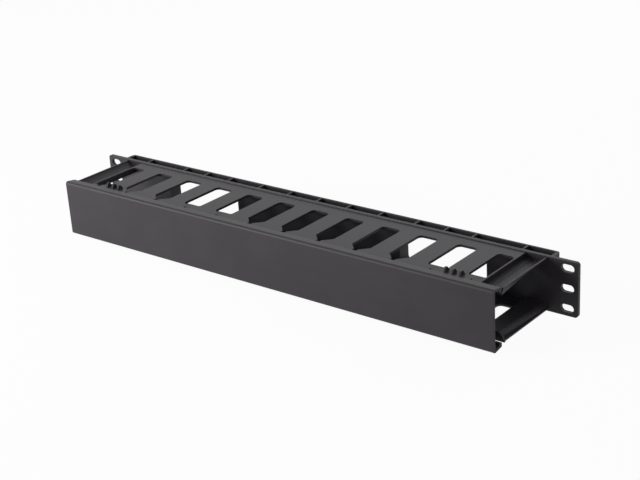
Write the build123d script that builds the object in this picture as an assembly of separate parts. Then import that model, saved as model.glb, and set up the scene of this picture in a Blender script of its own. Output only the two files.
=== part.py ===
from build123d import *
from math import sqrt
import os

# Horizontal cable manager for a 19-inch rack, one rack unit high.
# X runs to the right, Y to the rear and Z up, in millimetres.
# The origin is the centre of the ears' rear face, which bolts against the rack rails.

# Rack spacing: one unit, the gap between the outer holes of two units, and the hole columns
RACK_UNIT_HEIGHT = 44.45
HOLE_UNIT_GAP = 12.7
HOLE_COLUMN_SPACING = 465.1

# Front panel with its mounting ears and their oval slots
PANEL_STACK_GAP = 0.85
PANEL_THICKNESS = 3.0
PANEL_CORNER_R = 2.5
EAR_MARGIN = 8.75
HOLE_LENGTH = 10.7
HOLE_WIDTH = 6.2

# Hollow box behind the panel, open in pockets at the top and the bottom
BOX_HOLE_MARGIN = 6.7
BOX_DEPTH = 9.0
BOX_BACK_WALL = 1.5
BOX_END_WALL = 3.0
BOX_CORNER_R = 3.0
BOX_WEB = 1.5
RIB_THICKNESS = 1.5
RIB_OFFSETS = (30.8, 62.5, 97.5, 124.5, 150.0, 194.0)

# Cable windows through the panel and the box
WINDOW_CENTRE_X = 124.5
WINDOW_WIDTH = 80.0
WINDOW_EDGE_MARGIN = 7.8
WINDOW_CORNER_R = 4.0
WINDOW_WALL = 1.5

# Finger plates of the duct
PLATE_THICKNESS = 2.0
PLATE_EDGE_STEP = 0.73
SLOT_COUNT = 12
SLOT_WIDTH = 17.5
SLOT_BACK_DEPTH = 11.5
SLOT_STRAIGHT_LENGTH = 40.3
SLOT_CORNER_R = 3.75
THROAT_WIDTH = 4.0
END_SLOT_OUTER_HALF = 5.74

# Curved end fingers, each a shallow trough that opens outwards
END_STRIP_WIDTH = 1.4
TROUGH_WIDTH = 18.1
TOP_CURL_WIDTH = 12.0
BOTTOM_CURL_WIDTH = 3.0
BOTTOM_LEDGE_WIDTH = 3.4
BOTTOM_LEDGE_REAR_WIDTH = 0.4
TROUGH_DROP = 4.8
TROUGH_FLOOR = 1.2
TROUGH_OVERRUN = 2.45
TROUGH_LIP_THICKNESS = 1.2
TROUGH_INNER_R = 2.3
TROUGH_STEP_WIDTH = 5.0
TROUGH_STEP = 0.4
TROUGH_BOX_MARGIN = 4.3
END_HEAD_WIDTH = 8.9

# The lower end fingers end in a raised rim, closed by a web that is set back in it
END_RIM_THICKNESS = 1.2
END_RIM_HEIGHT = 1.0
END_WEB_SETBACK = 0.8
END_WEB_THICKNESS = 1.5

# The upper end fingers have a tapering cheek under the front of the lip
CHEEK_LENGTH = 26.0
CHEEK_DROP = 5.9
CHEEK_INSET = 1.8
CHEEK_WIDTH = 6.7
CHEEK_REAR_SCALE = 0.32
CHEEK_TOP_GAP = 0.3

# Finger heads, which carry the cover
HEAD_LENGTH = 13.95
HEAD_FLOOR = 2.0
HEAD_NOSE_R = 0.9
TOOTH_LENGTH = 5.1
RISER_THICKNESS = 2.0

# Grip fins on the upper fingers next to the outermost slots
FIN_COUNT = 3
FIN_PITCH = 6.5
FIN_THICKNESS = 1.6
FIN_LENGTH = 6.0
FIN_HEIGHT = 3.75
FIN_FRONT_LEAN = 0.9
FIN_TOP_LENGTH = 2.5
FIN_CORNER_R = 0.8
FIN_FRONT_MARGIN = 1.4
FIN_SINK = 0.8

# Front cover
COVER_WALL = 2.1
COVER_FLANGE = 1.9
COVER_TAPER = 1.5
COVER_CORNER_THICKNESS = 2.3
COVER_OUTER_R = 2.2
COVER_OVERHANG = 0.4
BEAD_R = 1.5
BEAD_SINK = 0.47

# Clearances between the cover and the finger heads
TIP_CLEARANCE = 0.4
BEAD_CLEARANCE = 0.2
FLANGE_CLEARANCE = 0.23
SWING_CLEARANCE = 0.2
RELEASE_CLEARANCE = 0.23

OVERCUT = 2.0

# Heights that follow from the rack unit
PANEL_HEIGHT = RACK_UNIT_HEIGHT - PANEL_STACK_GAP
HALF_HEIGHT = PANEL_HEIGHT / 2
HOLE_ROW_SPACING = (RACK_UNIT_HEIGHT - HOLE_UNIT_GAP) / 2
WINDOW_HEIGHT = PANEL_HEIGHT - 2 * WINDOW_EDGE_MARGIN
PLATE_OUTER_Z = HALF_HEIGHT - PLATE_EDGE_STEP
PLATE_INNER_Z = PLATE_OUTER_Z - PLATE_THICKNESS
TROUGH_FLOOR_Z = PLATE_OUTER_Z - TROUGH_DROP
TROUGH_UNDER_Z = TROUGH_FLOOR_Z - TROUGH_FLOOR

# Widths that follow from the hole columns, from the ears inwards
PANEL_WIDTH = HOLE_COLUMN_SPACING + 2 * EAR_MARGIN
BOX_HALF_WIDTH = (HOLE_COLUMN_SPACING - HOLE_LENGTH) / 2 - BOX_HOLE_MARGIN
TROUGH_LIP_X = BOX_HALF_WIDTH - TROUGH_BOX_MARGIN
TROUGH_INNER_X = TROUGH_LIP_X - TROUGH_WIDTH
TROUGH_WALL_X = TROUGH_INNER_X - END_STRIP_WIDTH
END_HEAD_X = TROUGH_INNER_X + END_HEAD_WIDTH
END_SLOT_CENTRE_X = TROUGH_WALL_X - END_SLOT_OUTER_HALF
FINGER_PITCH = 2 * END_SLOT_CENTRE_X / (SLOT_COUNT - 1)

# Depths that follow from the panel, forwards to the tips of the heads
PANEL_FRONT_Y = -PANEL_THICKNESS
SLOT_BACK_Y = PANEL_FRONT_Y - SLOT_BACK_DEPTH
SLOT_STRAIGHT_Y = SLOT_BACK_Y - SLOT_STRAIGHT_LENGTH
FLARE_END_Y = SLOT_STRAIGHT_Y - (SLOT_WIDTH - THROAT_WIDTH) / 2
TROUGH_FRONT_Y = FLARE_END_Y - TROUGH_OVERRUN
TIP_Y = FLARE_END_Y - HEAD_LENGTH

# The lower heads have a groove for the lower bead, wide enough behind it for the swinging flange
GROOVE_FRONT_Y = TIP_Y + TOOTH_LENGTH
BEAD_Y = GROOVE_FRONT_Y + BEAD_CLEARANCE + BEAD_R
BEAD_Z = PLATE_OUTER_Z - BEAD_SINK
GROOVE_FLOOR_Z = BEAD_Z - BEAD_R - BEAD_CLEARANCE
FLANGE_INNER_Z = PLATE_OUTER_Z + FLANGE_CLEARANCE
FLANGE_OUTER_Z = FLANGE_INNER_Z + COVER_FLANGE
FLANGE_REAR_R = FLANGE_OUTER_Z - BEAD_Z
GROOVE_REAR_Y = BEAD_Y + FLANGE_REAR_R + SWING_CLEARANCE

# The upper heads have a low shelf, so that the upper bead passes over it on its arc outwards
BEAD_DROP = 2 * BEAD_Z - sqrt((2 * BEAD_Z) ** 2 - (BEAD_Y - TIP_Y) ** 2)
TOP_SHELF_Z = BEAD_Z - BEAD_R - BEAD_DROP - RELEASE_CLEARANCE
TOP_SHELF_Y = BEAD_Y + BEAD_R + BEAD_CLEARANCE
HEAD_BODY_Z = TOP_SHELF_Z - HEAD_FLOOR

# The cover follows from the heads
COVER_INSIDE_Y = TIP_Y - TIP_CLEARANCE
COVER_FRONT_Y = COVER_INSIDE_Y - COVER_WALL
COVER_EDGE_Z = FLANGE_OUTER_Z + COVER_TAPER
COVER_INSIDE_Z = COVER_EDGE_Z - COVER_CORNER_THICKNESS
COVER_HALF_WIDTH = TROUGH_LIP_X + COVER_OVERHANG


def box_between(x0, x1, y0, y1, z0, z1):
    """Return the solid box between two corners."""
    size = Box(abs(x1 - x0), abs(y1 - y0), abs(z1 - z0))
    return Pos((x0 + x1) / 2, (y0 + y1) / 2, (z0 + z1) / 2) * size


def prism_y(sketch, y0, y1):
    """Return a sketch drawn in X and Z, extruded from y0 back to y1."""
    plane = Plane(origin=(0, y1, 0), x_dir=(1, 0, 0), z_dir=(0, -1, 0))
    return extrude(plane * sketch, amount=y1 - y0)


def rectangle_between(u0, u1, v0, v1):
    """Return the flat rectangle between two corners."""
    return Pos((u0 + u1) / 2, (v0 + v1) / 2) * Rectangle(abs(u1 - u0), abs(v1 - v0))


def panel():
    """Return the front panel with its ears and mounting slots."""
    face = RectangleRounded(PANEL_WIDTH, PANEL_HEIGHT, PANEL_CORNER_R)
    slot = SlotOverall(HOLE_LENGTH, HOLE_WIDTH)
    for side in (-1, 1):
        for row in (-1, 0, 1):
            face -= Pos(side * HOLE_COLUMN_SPACING / 2, row * HOLE_ROW_SPACING) * slot
    return prism_y(face, PANEL_FRONT_Y, 0)


def rear_box():
    """Return the box behind the panel with its open pockets."""
    half = BOX_HALF_WIDTH
    body = box_between(-half, half, 0, BOX_DEPTH, -HALF_HEIGHT, HALF_HEIGHT)
    corners = body.edges().filter_by(Axis.Z).group_by(Axis.Y)[-1]
    body = fillet(corners, BOX_CORNER_R)
    inside = half - BOX_END_WALL
    offsets = [x for x in RIB_OFFSETS if x + RIB_THICKNESS < inside]
    ribs = sorted([-x for x in offsets] + [0.0] + offsets)
    stops = [-inside] + ribs + [inside]
    for left, right in zip(stops[:-1], stops[1:]):
        x0 = left if left == stops[0] else left + RIB_THICKNESS / 2
        x1 = right if right == stops[-1] else right - RIB_THICKNESS / 2
        for side in (-1, 1):
            z0 = side * BOX_WEB / 2
            z1 = side * (HALF_HEIGHT + OVERCUT)
            body -= box_between(x0, x1, 0, BOX_DEPTH - BOX_BACK_WALL, z0, z1)
    return body


def window_sketch(grow):
    """Return the outline of one window, grown by an even amount all round."""
    width = WINDOW_WIDTH + 2 * grow
    height = WINDOW_HEIGHT + 2 * grow
    return RectangleRounded(width, height, WINDOW_CORNER_R + grow)


def plates():
    """Return the flat top and bottom plates before their slots are cut."""
    half = TROUGH_INNER_X
    top = box_between(-half, half, TOP_SHELF_Y, PANEL_FRONT_Y, PLATE_INNER_Z, PLATE_OUTER_Z)
    bottom = box_between(-half, half, GROOVE_REAR_Y, PANEL_FRONT_Y, -PLATE_OUTER_Z, -PLATE_INNER_Z)
    return top + bottom


def top_head_section():
    """Return the upper heads' section in Y and Z: a shelf and the riser behind it."""
    shelf = rectangle_between(TIP_Y, TOP_SHELF_Y + RISER_THICKNESS, HEAD_BODY_Z, TOP_SHELF_Z)
    riser = rectangle_between(TOP_SHELF_Y, TOP_SHELF_Y + RISER_THICKNESS, HEAD_BODY_Z, PLATE_OUTER_Z)
    return round_nose(shelf + riser)


def bottom_head_section():
    """Return the lower heads' section in Y and Z: a body with a groove for the bead."""
    body = rectangle_between(TIP_Y, GROOVE_REAR_Y + RISER_THICKNESS, -PLATE_OUTER_Z, -HEAD_BODY_Z)
    groove = rectangle_between(GROOVE_FRONT_Y, GROOVE_REAR_Y, -PLATE_OUTER_Z - OVERCUT, -GROOVE_FLOOR_Z)
    return round_nose(body - groove)


def round_nose(section):
    """Return a head's section with its two front corners rounded."""
    return fillet(section.vertices().group_by(Axis.X)[0], HEAD_NOSE_R)


def heads():
    """Return the rows of heads as two full-width bars, before the throats are cut."""
    bars = extrude(Plane.YZ * top_head_section(), amount=END_HEAD_X, both=True)
    bars += extrude(Plane.YZ * bottom_head_section(), amount=END_HEAD_X, both=True)
    return bars


def quarter_oval(x, width, height):
    """Return the outer lower quarter of an oval whose centre is at x on the plate's outer face."""
    corner = rectangle_between(x, x + width, PLATE_OUTER_Z - height, PLATE_OUTER_Z)
    return (Pos(x, PLATE_OUTER_Z) * Ellipse(width, height)) & corner


def trough_section(lip_x, curl_width):
    """Return the upper right end finger's section in X and Z, with its lip at the given X."""
    bend_x = lip_x - curl_width
    section = rectangle_between(TROUGH_WALL_X, bend_x, TROUGH_UNDER_Z, PLATE_OUTER_Z)
    section += quarter_oval(bend_x, curl_width, PLATE_OUTER_Z - TROUGH_UNDER_Z)
    section -= trough_hollow(lip_x, curl_width)
    step_x = TROUGH_INNER_X + TROUGH_STEP_WIDTH
    section += rectangle_between(TROUGH_INNER_X, step_x, TROUGH_FLOOR_Z, TROUGH_FLOOR_Z + TROUGH_STEP)
    under_corner = section.vertices().group_by(Axis.Y)[0].sort_by(Axis.X)[0]
    return fillet(under_corner, TROUGH_INNER_R)


def trough_hollow(lip_x, curl_width):
    """Return the hollow of an end finger's section."""
    bend_x = lip_x - curl_width
    hollow = rectangle_between(TROUGH_INNER_X, bend_x, TROUGH_FLOOR_Z, PLATE_OUTER_Z)
    return hollow + quarter_oval(bend_x, curl_width - TROUGH_LIP_THICKNESS, TROUGH_DROP)


def top_finger():
    """Return the upper right end finger: a trough with a wide curl and a tapering cheek."""
    section = trough_section(TROUGH_LIP_X, TOP_CURL_WIDTH)
    return prism_y(section, TROUGH_FRONT_Y, PANEL_FRONT_Y) + cheek()


def bottom_section(y, ledge_width):
    """Return the lower right end finger's section at one depth: steep curl with a ledge beside it."""
    curl_x = TROUGH_LIP_X - ledge_width
    ledge_x = curl_x - TROUGH_LIP_THICKNESS / 2
    ledge_z = PLATE_OUTER_Z - TROUGH_LIP_THICKNESS
    section = trough_section(curl_x, BOTTOM_CURL_WIDTH)
    section += rectangle_between(ledge_x, TROUGH_LIP_X, ledge_z, PLATE_OUTER_Z)
    return (Plane.XZ.offset(-y) * section).face()


def bottom_finger():
    """Return the lower right end finger, drawn as an upper one: its ledge narrows to the panel."""
    front = bottom_section(TROUGH_FRONT_Y, BOTTOM_LEDGE_WIDTH)
    rear = bottom_section(PANEL_FRONT_Y, BOTTOM_LEDGE_REAR_WIDTH)
    finger = loft([front, rear], ruled=True)
    curl_x = TROUGH_LIP_X - BOTTOM_LEDGE_WIDTH
    bend_x = curl_x - BOTTOM_CURL_WIDTH
    rim_z = TROUGH_UNDER_Z - END_RIM_HEIGHT
    rim = rectangle_between(TROUGH_INNER_X, bend_x, rim_z, PLATE_OUTER_Z)
    rim += quarter_oval(bend_x, TROUGH_LIP_X - bend_x, PLATE_OUTER_Z - rim_z)
    rim -= trough_hollow(curl_x, BOTTOM_CURL_WIDTH)
    finger += prism_y(rim, TROUGH_FRONT_Y, TROUGH_FRONT_Y + END_RIM_THICKNESS)
    web = trough_hollow(curl_x + TROUGH_LIP_THICKNESS / 2, BOTTOM_CURL_WIDTH)
    web += rectangle_between(TROUGH_INNER_X, TROUGH_LIP_X, PLATE_OUTER_Z, HALF_HEIGHT)
    web_y = TROUGH_FRONT_Y + END_WEB_SETBACK
    return finger + prism_y(web, web_y, web_y + END_WEB_THICKNESS)


def cheek_face(y, scale):
    """Return the cheek's three-cornered section at one depth, scaled about the lip's edge."""
    corners = (
        (0.0, 0.0),
        (-CHEEK_INSET * scale, -CHEEK_DROP * scale),
        (-CHEEK_WIDTH * scale, -CHEEK_DROP * scale),
    )
    points = [(TROUGH_LIP_X + x, y, PLATE_OUTER_Z - CHEEK_TOP_GAP + z) for x, z in corners]
    return make_face(Polyline(*points, close=True))


def cheek():
    """Return the tapering cheek under the upper right end finger's lip."""
    front = cheek_face(TROUGH_FRONT_Y, 1.0)
    rear = cheek_face(TROUGH_FRONT_Y + CHEEK_LENGTH, CHEEK_REAR_SCALE)
    return loft([front, rear], ruled=True)


def end_fingers():
    """Return the four end fingers with the necks that carry their heads."""
    neck_y = TIP_Y + HEAD_NOSE_R
    neck = box_between(TROUGH_WALL_X, END_HEAD_X, neck_y, TROUGH_FRONT_Y, TROUGH_UNDER_Z, HEAD_BODY_Z)
    right = top_finger() + neck + mirror(bottom_finger() + neck, about=Plane.XY)
    return right + mirror(right, about=Plane.YZ)


def slot_cutter(outer_half, outer_front_y):
    """Return the cutter of a slot with its flare and throat, centred on X = 0."""
    inner_half = SLOT_WIDTH / 2
    throat = THROAT_WIDTH / 2
    front_y = TIP_Y - OVERCUT
    outline = Polyline(
        (-inner_half, SLOT_BACK_Y),
        (outer_half, SLOT_BACK_Y),
        (outer_half, outer_front_y),
        (throat, FLARE_END_Y),
        (throat, front_y),
        (-throat, front_y),
        (-throat, FLARE_END_Y),
        (-inner_half, SLOT_STRAIGHT_Y),
        close=True,
    )
    plan = make_face(outline)
    plan = fillet(plan.vertices().group_by(Axis.Y)[-1], SLOT_CORNER_R)
    return extrude(plan, amount=HALF_HEIGHT + OVERCUT, both=True)


def slots():
    """Return the cutters of all the slots, each through both plates."""
    inner = slot_cutter(SLOT_WIDTH / 2, SLOT_STRAIGHT_Y)
    cutters = []
    for index in range(1, SLOT_COUNT - 1):
        x = (index - (SLOT_COUNT - 1) / 2) * FINGER_PITCH
        cutters.append(Pos(x, 0, 0) * inner)
    end = Pos(END_SLOT_CENTRE_X, 0, 0) * slot_cutter(END_SLOT_OUTER_HALF, FLARE_END_Y)
    cutters.append(end)
    cutters.append(mirror(end, about=Plane.YZ))
    return cutters


def fin_section():
    """Return a grip fin's section in Y and Z: steep in front and sloping down to the rear."""
    front_y = TOP_SHELF_Y + RISER_THICKNESS + FIN_FRONT_MARGIN
    rear_y = front_y + FIN_LENGTH
    top_y = front_y + FIN_FRONT_LEAN
    top_z = PLATE_OUTER_Z + FIN_HEIGHT
    base_z = PLATE_OUTER_Z - FIN_SINK
    outline = Polyline(
        (front_y, base_z),
        (front_y, PLATE_OUTER_Z),
        (top_y, top_z),
        (top_y + FIN_TOP_LENGTH, top_z),
        (rear_y, PLATE_OUTER_Z),
        (rear_y, base_z),
        close=True,
    )
    section = make_face(outline)
    return fillet(section.vertices().group_by(Axis.Y)[-1], FIN_CORNER_R)


def fins():
    """Return the grip fins on the fingers next to the outermost slots."""
    fin = extrude(Plane.YZ * fin_section(), amount=FIN_THICKNESS / 2, both=True)
    finger_x = END_SLOT_CENTRE_X - FINGER_PITCH / 2
    row = []
    for side in (-1, 1):
        for index in range(FIN_COUNT):
            x = side * finger_x + (index - (FIN_COUNT - 1) / 2) * FIN_PITCH
            row.append(Pos(x, 0, 0) * fin)
    return row


def duct_frame():
    """Return the one-piece moulding: panel, box, plates, fingers and heads."""
    body = panel() + rear_box()
    for side in (-1, 1):
        place = Pos(side * WINDOW_CENTRE_X, 0, 0)
        body += place * prism_y(window_sketch(WINDOW_WALL), 0, BOX_DEPTH)
        hole = prism_y(window_sketch(0), PANEL_FRONT_Y - OVERCUT, BOX_DEPTH + OVERCUT)
        body -= place * hole
    duct = plates() + heads() + end_fingers()
    for cutter in slots():
        duct -= cutter
    for fin in fins():
        duct += fin
    return body + duct


def cover_corner():
    """Return the cover's upper flange and bead in Y and Z."""
    flange = make_face(
        Polyline(
            (COVER_FRONT_Y, COVER_EDGE_Z),
            (BEAD_Y, FLANGE_OUTER_Z),
            (BEAD_Y, FLANGE_INNER_Z),
            (COVER_INSIDE_Y, COVER_INSIDE_Z),
            (COVER_FRONT_Y, COVER_INSIDE_Z),
            close=True,
        )
    )
    centre = Pos(BEAD_Y, BEAD_Z)
    rear_edge = rectangle_between(BEAD_Y, BEAD_Y + BEAD_R, BEAD_Z, FLANGE_OUTER_Z)
    rear = (centre * Circle(FLANGE_REAR_R)) & rear_edge
    return flange + rear + centre * Circle(BEAD_R)


def front_cover():
    """Return the one-piece cover: front wall, two flanges and their beads."""
    wall = rectangle_between(COVER_FRONT_Y, COVER_INSIDE_Y, -COVER_INSIDE_Z, COVER_INSIDE_Z)
    section = wall + cover_corner() + mirror(cover_corner(), about=Plane.XZ)
    cover = extrude(Plane.YZ * section, amount=COVER_HALF_WIDTH, both=True)
    front_edges = cover.edges().filter_by(Axis.X).group_by(Axis.Y)[0]
    return fillet(front_edges, COVER_OUTER_R)


os.makedirs("parts", exist_ok=True)
export_step(duct_frame(), "parts/duct_frame.step")
export_step(front_cover(), "parts/front_cover.step")
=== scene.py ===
"""Looks of a one-unit cable manager for a 19-inch rack: moulded duct frame and clip-fit cover.

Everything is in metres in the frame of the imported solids: X to the right, Y to the rear of the rack
and Z up, with the origin in the middle of the ears' rear face.
"""

import logging
import math
from dataclasses import dataclass
from enum import Enum
from typing import Any, Dict, Optional, Sequence, Tuple, Union

import bpy
import numpy as np
from mathutils import Matrix, Vector


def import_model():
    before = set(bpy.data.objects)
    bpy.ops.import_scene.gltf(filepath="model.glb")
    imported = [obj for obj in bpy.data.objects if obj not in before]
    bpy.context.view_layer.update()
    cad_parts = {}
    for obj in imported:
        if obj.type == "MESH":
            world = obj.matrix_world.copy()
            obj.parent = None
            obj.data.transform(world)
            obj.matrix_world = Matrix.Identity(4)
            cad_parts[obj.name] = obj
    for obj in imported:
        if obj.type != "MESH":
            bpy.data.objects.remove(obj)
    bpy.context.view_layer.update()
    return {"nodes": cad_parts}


logging.basicConfig(level=logging.INFO, format="%(levelname)s %(message)s")
LOG = logging.getLogger("cable_manager")

MM = 0.001
EVEN = (1.0, 1.0, 1.0)
WHITE = (1.0, 1.0, 1.0, 1.0)

Triple = Tuple[float, float, float]
Number = Union[int, float]


class Node(Enum):
    """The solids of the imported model."""

    FRAME = "duct_frame"
    COVER = "front_cover"


class Term:
    """A shader socket that takes part in arithmetic; each expression adds its Math nodes."""

    def __init__(self, graph: "Graph", socket: bpy.types.NodeSocket) -> None:
        """Wrap an output socket.

        Args:
            graph: the graph that the socket belongs to.
            socket: the output socket.
        """
        self.graph = graph
        self.socket = socket

    def _math(self, operation: str, *values: "Value", clamp: bool = False) -> "Term":
        """Add a Math node.

        Args:
            operation: the node's operation.
            values: its inputs in order.
            clamp: whether the result is held between 0 and 1.

        Returns:
            The node's result.
        """
        inputs = {index: value for index, value in enumerate(values)}
        node = self.graph.node("ShaderNodeMath", {"operation": operation, "use_clamp": clamp}, inputs)
        return self.graph.out(node, 0)

    def __add__(self, other: "Value") -> "Term":
        """Return the sum."""
        return self._math("ADD", self, other)

    def __radd__(self, other: "Value") -> "Term":
        """Return the sum with a number on the left."""
        return self._math("ADD", other, self)

    def __sub__(self, other: "Value") -> "Term":
        """Return the difference."""
        return self._math("SUBTRACT", self, other)

    def __rsub__(self, other: "Value") -> "Term":
        """Return the difference from a number on the left."""
        return self._math("SUBTRACT", other, self)

    def __mul__(self, other: "Value") -> "Term":
        """Return the product."""
        return self._math("MULTIPLY", self, other)

    def clamp(self) -> "Term":
        """Return the value held between 0 and 1."""
        return self._math("ADD", self, 0.0, clamp=True)


Value = Union[Term, Number, Sequence[float]]


@dataclass
class Graph:
    """The node graph of one material or world.

    Attributes:
        tree: the node tree that the nodes are added to.
    """

    tree: bpy.types.NodeTree

    def node(
        self,
        kind: str,
        settings: Optional[Dict[str, Any]] = None,
        inputs: Optional[Dict[Any, Value]] = None,
    ) -> bpy.types.Node:
        """Add a node, set it up and fill its sockets.

        Args:
            kind: the node's type.
            settings: its properties, set before the sockets.
            inputs: values or links by the socket's name or number.

        Returns:
            The new node.
        """
        made = self.tree.nodes.new(kind)
        for key, value in (settings or {}).items():
            setattr(made, key, value)
        for key, value in (inputs or {}).items():
            socket = made.inputs[key]
            if isinstance(value, Term):
                self.tree.links.new(value.socket, socket)
            else:
                socket.default_value = value
        return made

    def out(self, node: bpy.types.Node, key: Union[int, str]) -> Term:
        """Take one of a node's results, ready for arithmetic.

        Args:
            node: the node.
            key: the result's name or number.

        Returns:
            The result.
        """
        return Term(self, node.outputs[key])

    def mix(self, factor: Value, first: Value, second: Value) -> Term:
        """Mix two colours.

        Args:
            factor: how much of the second.
            first: the first colour.
            second: the second colour.

        Returns:
            The mixed colour.
        """
        made = self.node("ShaderNodeMix", {"data_type": "RGBA"}, {0: factor, 6: first, 7: second})
        return self.out(made, 2)


@dataclass(frozen=True)
class MouldTexture:
    """How strongly the noises of a moulded surface act.

    Attributes:
        cloud_waves: waves per metre of the broad clouds.
        cloud_detail: the clouds' octaves.
        cloud_range: the noise values at which the clouds begin and are full.
        flow_waves: waves per metre of the flow marks.
        flow_detail: the flow marks' octaves.
        flow_fleck: how far the flow marks change the colour.
        flow_height: the flow marks' height as a share of the grain's.
        grain_detail: the grain's octaves.
        grain_fleck: how far the grain changes the colour.
        grain_roughness: how far the grain changes the roughness.
        octave_falloff: how much of each octave the next one keeps.
        edge_range: the lean of the rounded normal at which an edge begins and is full.
        edge_highlight_share: how much of the rim colour, a painted highlight, an edge takes on.
        edge_polish: how much smoother an edge is.
        edge_samples: the rays that round the edges.
        bump_strength: the strength of the pressed texture.
        ior: the plastic's index of refraction.
        mean: the mean of every noise.
    """

    cloud_waves: float = 22.0
    cloud_detail: float = 4.0
    cloud_range: Tuple[float, float] = (0.42, 0.62)
    flow_waves: float = 160.0
    flow_detail: float = 3.0
    flow_fleck: float = 0.10
    flow_height: float = 0.35
    grain_detail: float = 2.0
    grain_fleck: float = 0.22
    grain_roughness: float = 0.08
    octave_falloff: float = 0.55
    edge_range: Tuple[float, float] = (0.004, 0.16)
    edge_highlight_share: float = 0.75
    edge_polish: float = 0.06
    edge_samples: int = 6
    bump_strength: float = 0.5
    ior: float = 1.5
    mean: float = 0.5


@dataclass(frozen=True)
class PlasticFinish:
    """A dark moulded plastic with the fine texture of an eroded mould.

    Attributes:
        name: the material's name.
        base: the colour of the plastic.
        dusty: the colour that broad cloudy areas lean to.
        painted_edge_highlight: the lighter colour of the rounded edges, a painted edge highlight.
        roughness: the mean roughness.
        roughness_spread: how far the roughness wanders.
        specular: the specular level.
        grain_mm: the size of the mould texture's grains.
        grain_depth_mm: the depth of the grains.
        edge_mm: the radius that the moulded edges are rounded to.
        flow_axis: the noise's scale along each axis; the marks are drawn out along the smallest.
        texture: how strongly the noises act.
    """

    name: str
    base: Triple
    dusty: Triple
    painted_edge_highlight: Triple
    roughness: float
    roughness_spread: float = 0.06
    specular: float = 0.19
    grain_mm: float = 0.42
    grain_depth_mm: float = 0.018
    edge_mm: float = 0.35
    flow_axis: Triple = (0.12, 1.0, 1.0)
    texture: MouldTexture = MouldTexture()


MOULDING_FINISH = PlasticFinish(
    name="charcoal_moulding",
    base=(0.0290, 0.0256, 0.0301),
    dusty=(0.0333, 0.0296, 0.0345),
    # rim: a lighter colour on the rounded edges, a painted edge highlight
    painted_edge_highlight=(0.056, 0.051, 0.058),
    roughness=0.46,
)
COVER_FINISH = PlasticFinish(
    name="charcoal_cover",
    base=(0.0292, 0.0257, 0.0303),
    dusty=(0.0331, 0.0294, 0.0343),
    # rim: a lighter colour on the rounded edges, a painted edge highlight
    painted_edge_highlight=(0.054, 0.049, 0.056),
    roughness=0.50,
    grain_mm=0.38,
)


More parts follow.
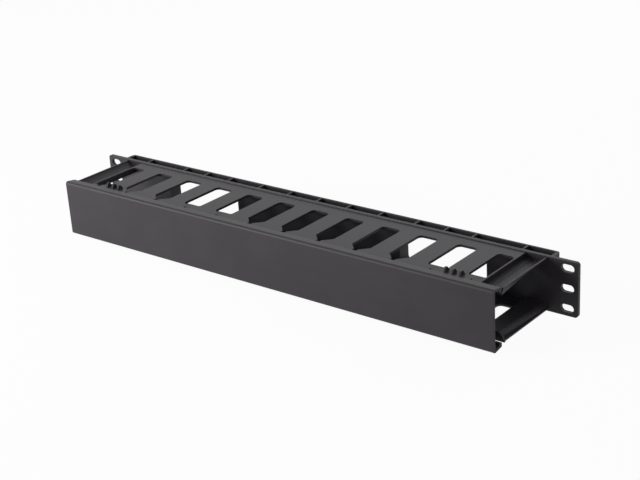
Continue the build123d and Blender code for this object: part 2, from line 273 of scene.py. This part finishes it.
@dataclass
class PlasticMaterial:
    """Builds the material of a moulded plastic from its finish.

    Attributes:
        finish: the finish.
    """

    finish: PlasticFinish

    def build(self) -> bpy.types.Material:
        """Make the material.

        Returns:
            The finished material.
        """
        made = bpy.data.materials.new(self.finish.name)
        made.use_nodes = True
        made.node_tree.nodes.clear()
        graph = Graph(made.node_tree)
        place = graph.out(graph.node("ShaderNodeTexCoord"), "Object")
        texture = self.finish.texture
        grain_waves = 1.0 / (self.finish.grain_mm * MM)
        cloud = self._noise(graph, place, EVEN, texture.cloud_waves, texture.cloud_detail)
        flow = self._noise(graph, place, self.finish.flow_axis, texture.flow_waves, texture.flow_detail)
        grain = self._noise(graph, place, EVEN, grain_waves, texture.grain_detail)
        edge = self._edge_mask(graph)
        clouds = self._stretch(cloud, *texture.cloud_range)
        colour = graph.mix(clouds, (*self.finish.base, 1.0), (*self.finish.dusty, 1.0))
        fleck = 1.0 + (grain - texture.mean) * texture.grain_fleck
        fleck = fleck + (flow - texture.mean) * texture.flow_fleck
        colour = self._scale(graph, colour, fleck)
        # The rounded edges take on the lighter rim colour: a painted highlight along the edges.
        colour = graph.mix(edge * texture.edge_highlight_share, colour, (*self.finish.painted_edge_highlight, 1.0))
        roughness = self.finish.roughness + (cloud - texture.mean) * self.finish.roughness_spread
        roughness = roughness + (grain - texture.mean) * texture.grain_roughness
        roughness = roughness - edge * texture.edge_polish
        normal = self._normal(graph, grain, flow)
        shader = graph.node(
            "ShaderNodeBsdfPrincipled",
            None,
            {
                "Base Color": colour,
                "Roughness": roughness.clamp(),
                "Normal": normal,
                "Specular IOR Level": self.finish.specular,
                "IOR": texture.ior,
            },
        )
        graph.node("ShaderNodeOutputMaterial", None, {"Surface": graph.out(shader, "BSDF")})
        return made

    def _noise(self, graph: Graph, place: Term, stretch: Triple, scale: float, detail: float) -> Term:
        """Add a noise on a stretched copy of the object's own coordinates.

        Args:
            graph: the material's graph.
            place: the object's coordinates.
            stretch: the scale along each axis.
            scale: waves per metre.
            detail: the number of octaves.

        Returns:
            The noise, about 0.5 on average.
        """
        mapped = graph.node("ShaderNodeMapping", None, {"Vector": place, "Scale": stretch})
        made = graph.node(
            "ShaderNodeTexNoise",
            None,
            {
                "Vector": graph.out(mapped, "Vector"),
                "Scale": scale,
                "Detail": detail,
                "Roughness": self.finish.texture.octave_falloff,
            },
        )
        return graph.out(made, 0)

    @staticmethod
    def _stretch(value: Term, low: float, high: float) -> Term:
        """Draw a value out so that low becomes 0 and high becomes 1.

        Args:
            value: the value.
            low: what becomes 0, as does all below it.
            high: what becomes 1, as does all above it.

        Returns:
            The value between 0 and 1.
        """
        return ((value - low) * (1.0 / (high - low))).clamp()

    @staticmethod
    def _scale(graph: Graph, colour: Term, factor: Term) -> Term:
        """Multiply a colour by a number, through a Vector Math node.

        Args:
            graph: the material's graph.
            colour: the colour.
            factor: the number.

        Returns:
            The lighter or darker colour.
        """
        made = graph.node("ShaderNodeVectorMath", {"operation": "SCALE"}, {0: colour, "Scale": factor})
        return graph.out(made, 0)

    def _edge_mask(self, graph: Graph) -> Term:
        """Mark the edges: there the rounded normal leans away from the face's own.

        Args:
            graph: the material's graph.

        Returns:
            1 on an edge and 0 on a flat face.
        """
        rounded = self._rounded_edges(graph)
        plain = graph.node("ShaderNodeNewGeometry")
        dot = graph.node(
            "ShaderNodeVectorMath",
            {"operation": "DOT_PRODUCT"},
            {0: rounded, 1: graph.out(plain, "Normal")},
        )
        return self._stretch(1.0 - graph.out(dot, "Value"), *self.finish.texture.edge_range)

    def _rounded_edges(self, graph: Graph) -> Term:
        """Round the edges.

        Args:
            graph: the material's graph.

        Returns:
            The normal of the surface with rounded edges.
        """
        settings = {"samples": self.finish.texture.edge_samples}
        made = graph.node("ShaderNodeBevel", settings, {"Radius": self.finish.edge_mm * MM})
        return graph.out(made, "Normal")

    def _normal(self, graph: Graph, grain: Term, flow: Term) -> Term:
        """Round the edges and press the mould texture into the surface.

        Args:
            graph: the material's graph.
            grain: the noise of the mould texture.
            flow: the noise of the flow marks.

        Returns:
            The surface normal.
        """
        rounded = self._rounded_edges(graph)
        height = grain + flow * self.finish.texture.flow_height
        bump = graph.node(
            "ShaderNodeBump",
            None,
            {
                "Strength": self.finish.texture.bump_strength,
                "Distance": self.finish.grain_depth_mm * MM,
                "Height": height,
                "Normal": rounded,
            },
        )
        return graph.out(bump, "Normal")


@dataclass
class MouldedPiece:
    """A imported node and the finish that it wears.

    Attributes:
        node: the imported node.
        finish: its finish.
    """

    node: Node
    finish: PlasticFinish

    def dress(self, nodes: Dict[str, bpy.types.Object]) -> bpy.types.Object:
        """Give the piece's solid its finish.

        Args:
            nodes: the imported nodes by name.

        Returns:
            The dressed object.
        """
        return dress_node(nodes[self.node.value], PlasticMaterial(self.finish).build())


@dataclass
class DuctFrame(MouldedPiece):
    """The one-piece moulding: panel with ears, rear box, windows, finger plates and end fingers."""

    node: Node = Node.FRAME
    finish: PlasticFinish = MOULDING_FINISH


@dataclass
class FrontCover(MouldedPiece):
    """The clip-fit cover: front wall, two flanges and their beads."""

    node: Node = Node.COVER
    finish: PlasticFinish = COVER_FINISH


def dress_node(thing: bpy.types.Object, material: bpy.types.Material) -> bpy.types.Object:
    """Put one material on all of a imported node's slots.

    Args:
        thing: the node's object.
        material: the material.

    Returns:
        The same object.
    """
    if not thing.material_slots:
        thing.data.materials.append(material)
    for slot in thing.material_slots:
        slot.material = material
    return thing


@dataclass(frozen=True)
class Lamp:
    """A square soft lamp.

    Attributes:
        name: the lamp's name.
        place_m: where it hangs.
        size_m: the length of its sides.
        power_w: its power.
    """

    name: str
    place_m: Triple
    size_m: float
    power_w: float


LAMPS = (
    Lamp("near_left", (-0.75, -0.9, 0.3), 0.7, 17.9),
    Lamp("back_left", (-1.2, 1.1, 0.6), 1.2, 1.2),
    Lamp("back_top", (-0.2, 1.3, 1.0), 1.4, 3.2),
    Lamp("back_right", (0.5, 1.3, 0.8), 1.2, 2.1),
)


@dataclass
class Studio:
    """White floor, soft lamps and the camera.

    Attributes:
        azimuth_deg: how far to the right of straight ahead the camera stands.
        elevation_deg: how far above the horizon it stands.
        roll_deg: how far it is turned about its own line of sight.
        distance_mm: its distance from the point it is aimed past.
        aim_mm: that point.
        focal_px: its focal length in pixels of a frame 640 wide.
        frame_px: that frame's width.
        sensor_mm: the width of the camera's sensor.
        floor_z_mm: the height of the floor, just under the lowest point that the opening cover reaches.
        floor_half_m: half the length of the floor's sides.
        surround: the strength of the surrounding light; the camera sees it as white.
        floor_glow: the share of the floor that shows as plain white, the rest keeps the shadow.
        floor_white: the grey value of the floor's matte part.
        lamp_target_m: the point that every lamp faces.
        clip_m: the nearest and farthest distance that the camera sees.
        lamps: the lamps.
    """

    azimuth_deg: float = 39.66
    elevation_deg: float = 22.722
    roll_deg: float = -3.619
    distance_mm: float = 1119.652
    aim_mm: Triple = (4.014, -3.0, -10.849)
    focal_px: float = 1359.411
    frame_px: float = 640.0
    sensor_mm: float = 36.0
    floor_z_mm: float = -31.0
    floor_half_m: float = 6.0
    surround: float = 0.24
    floor_glow: float = 0.95
    floor_white: float = 0.9
    lamp_target_m: Triple = (0.0, -0.03, 0.0)
    clip_m: Tuple[float, float] = (0.01, 50.0)
    lamps: Tuple[Lamp, ...] = LAMPS

    def camera(self) -> None:
        """Place the camera where the photograph was taken from.

        The line of sight comes from azimuth and elevation, and right and up are turned by the roll.
        """
        az, el, roll = (math.radians(v) for v in (self.azimuth_deg, self.elevation_deg, self.roll_deg))
        back = Vector((math.sin(az) * math.cos(el), -math.cos(az) * math.cos(el), math.sin(el)))
        right = Vector((math.cos(az), math.sin(az), 0.0))
        up = back.cross(right)
        turned_right = right * math.cos(roll) + up * math.sin(roll)
        turned_up = up * math.cos(roll) - right * math.sin(roll)
        place = (Vector(self.aim_mm) + back * self.distance_mm) * MM
        data = bpy.data.cameras.new("camera")
        data.sensor_fit = "HORIZONTAL"
        data.sensor_width = self.sensor_mm
        data.lens = self.focal_px / self.frame_px * self.sensor_mm
        data.clip_start, data.clip_end = self.clip_m
        made = bpy.data.objects.new("camera", data)
        bpy.context.scene.collection.objects.link(made)
        turn = Matrix((turned_right, turned_up, back)).transposed().to_4x4()
        made.matrix_world = Matrix.Translation(place) @ turn
        bpy.context.scene.camera = made

    def light(self) -> None:
        """Set up the soft lamps and the surrounding light."""
        for lamp in self.lamps:
            data = bpy.data.lights.new(lamp.name, "AREA")
            data.shape = "SQUARE"
            data.size = lamp.size_m
            data.energy = lamp.power_w
            made = bpy.data.objects.new(lamp.name, data)
            bpy.context.scene.collection.objects.link(made)
            made.location = lamp.place_m
            sight = Vector(self.lamp_target_m) - Vector(lamp.place_m)
            made.rotation_euler = sight.to_track_quat("-Z", "Y").to_euler()
        world = bpy.data.worlds.new("studio")
        world.use_nodes = True
        world.node_tree.nodes.clear()
        graph = Graph(world.node_tree)
        strength = self.surround + self._white_seen(graph) * (1.0 - self.surround)
        shader = graph.node("ShaderNodeBackground", None, {"Color": WHITE, "Strength": strength})
        graph.node("ShaderNodeOutputWorld", None, {"Surface": graph.out(shader, "Background")})
        bpy.context.scene.world = world

    @staticmethod
    def _white_seen(graph: Graph) -> Term:
        """Mark the rays that see the surroundings as white.

        Args:
            graph: the graph of the world or the floor.

        Returns:
            1 for a ray from the camera, a reflection or a clear body, otherwise 0.
        """
        seen = graph.node("ShaderNodeLightPath")
        kinds = ("Is Camera Ray", "Is Glossy Ray", "Is Transmission Ray")
        first, second, third = (graph.out(seen, kind) for kind in kinds)
        return (first + second + third).clamp()

    def floor(self) -> None:
        """Lay the white floor, which shows as white and keeps the object's shadow.

        Its corners are half a side times the four pairs of signs, at one constant height.
        """
        mesh = bpy.data.meshes.new("floor")
        signs = np.array([(-1.0, -1.0), (1.0, -1.0), (1.0, 1.0), (-1.0, 1.0)])
        corners = np.column_stack((signs * self.floor_half_m, np.full(len(signs), self.floor_z_mm * MM)))
        mesh.from_pydata(corners.tolist(), [], [tuple(range(len(signs)))])
        made = bpy.data.objects.new("floor", mesh)
        bpy.context.scene.collection.objects.link(made)
        material = bpy.data.materials.new("white_floor")
        material.use_nodes = True
        material.node_tree.nodes.clear()
        graph = Graph(material.node_tree)
        grey = (self.floor_white, self.floor_white, self.floor_white, 1.0)
        matte = graph.node("ShaderNodeBsdfDiffuse", None, {"Color": grey})
        glow = graph.node("ShaderNodeEmission", None, {"Color": WHITE, "Strength": 1.0})
        share = self._white_seen(graph) * self.floor_glow
        mixed = graph.node("ShaderNodeMixShader", None, {0: share})
        graph.tree.links.new(matte.outputs[0], mixed.inputs[1])
        graph.tree.links.new(glow.outputs[0], mixed.inputs[2])
        graph.node("ShaderNodeOutputMaterial", None, {"Surface": graph.out(mixed, 0)})
        mesh.materials.append(material)


def main() -> None:
    """Build the scene: the pieces first, then the studio."""
    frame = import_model()
    bpy.context.scene.view_settings.view_transform = "Standard"
    for piece in (DuctFrame(), FrontCover()):
        dressed = piece.dress(frame["nodes"])
        LOG.info("%s: dressed %s", type(piece).__name__, dressed.name)
    studio = Studio()
    studio.floor()
    studio.light()
    studio.camera()


if __name__ == "__main__":
    main()
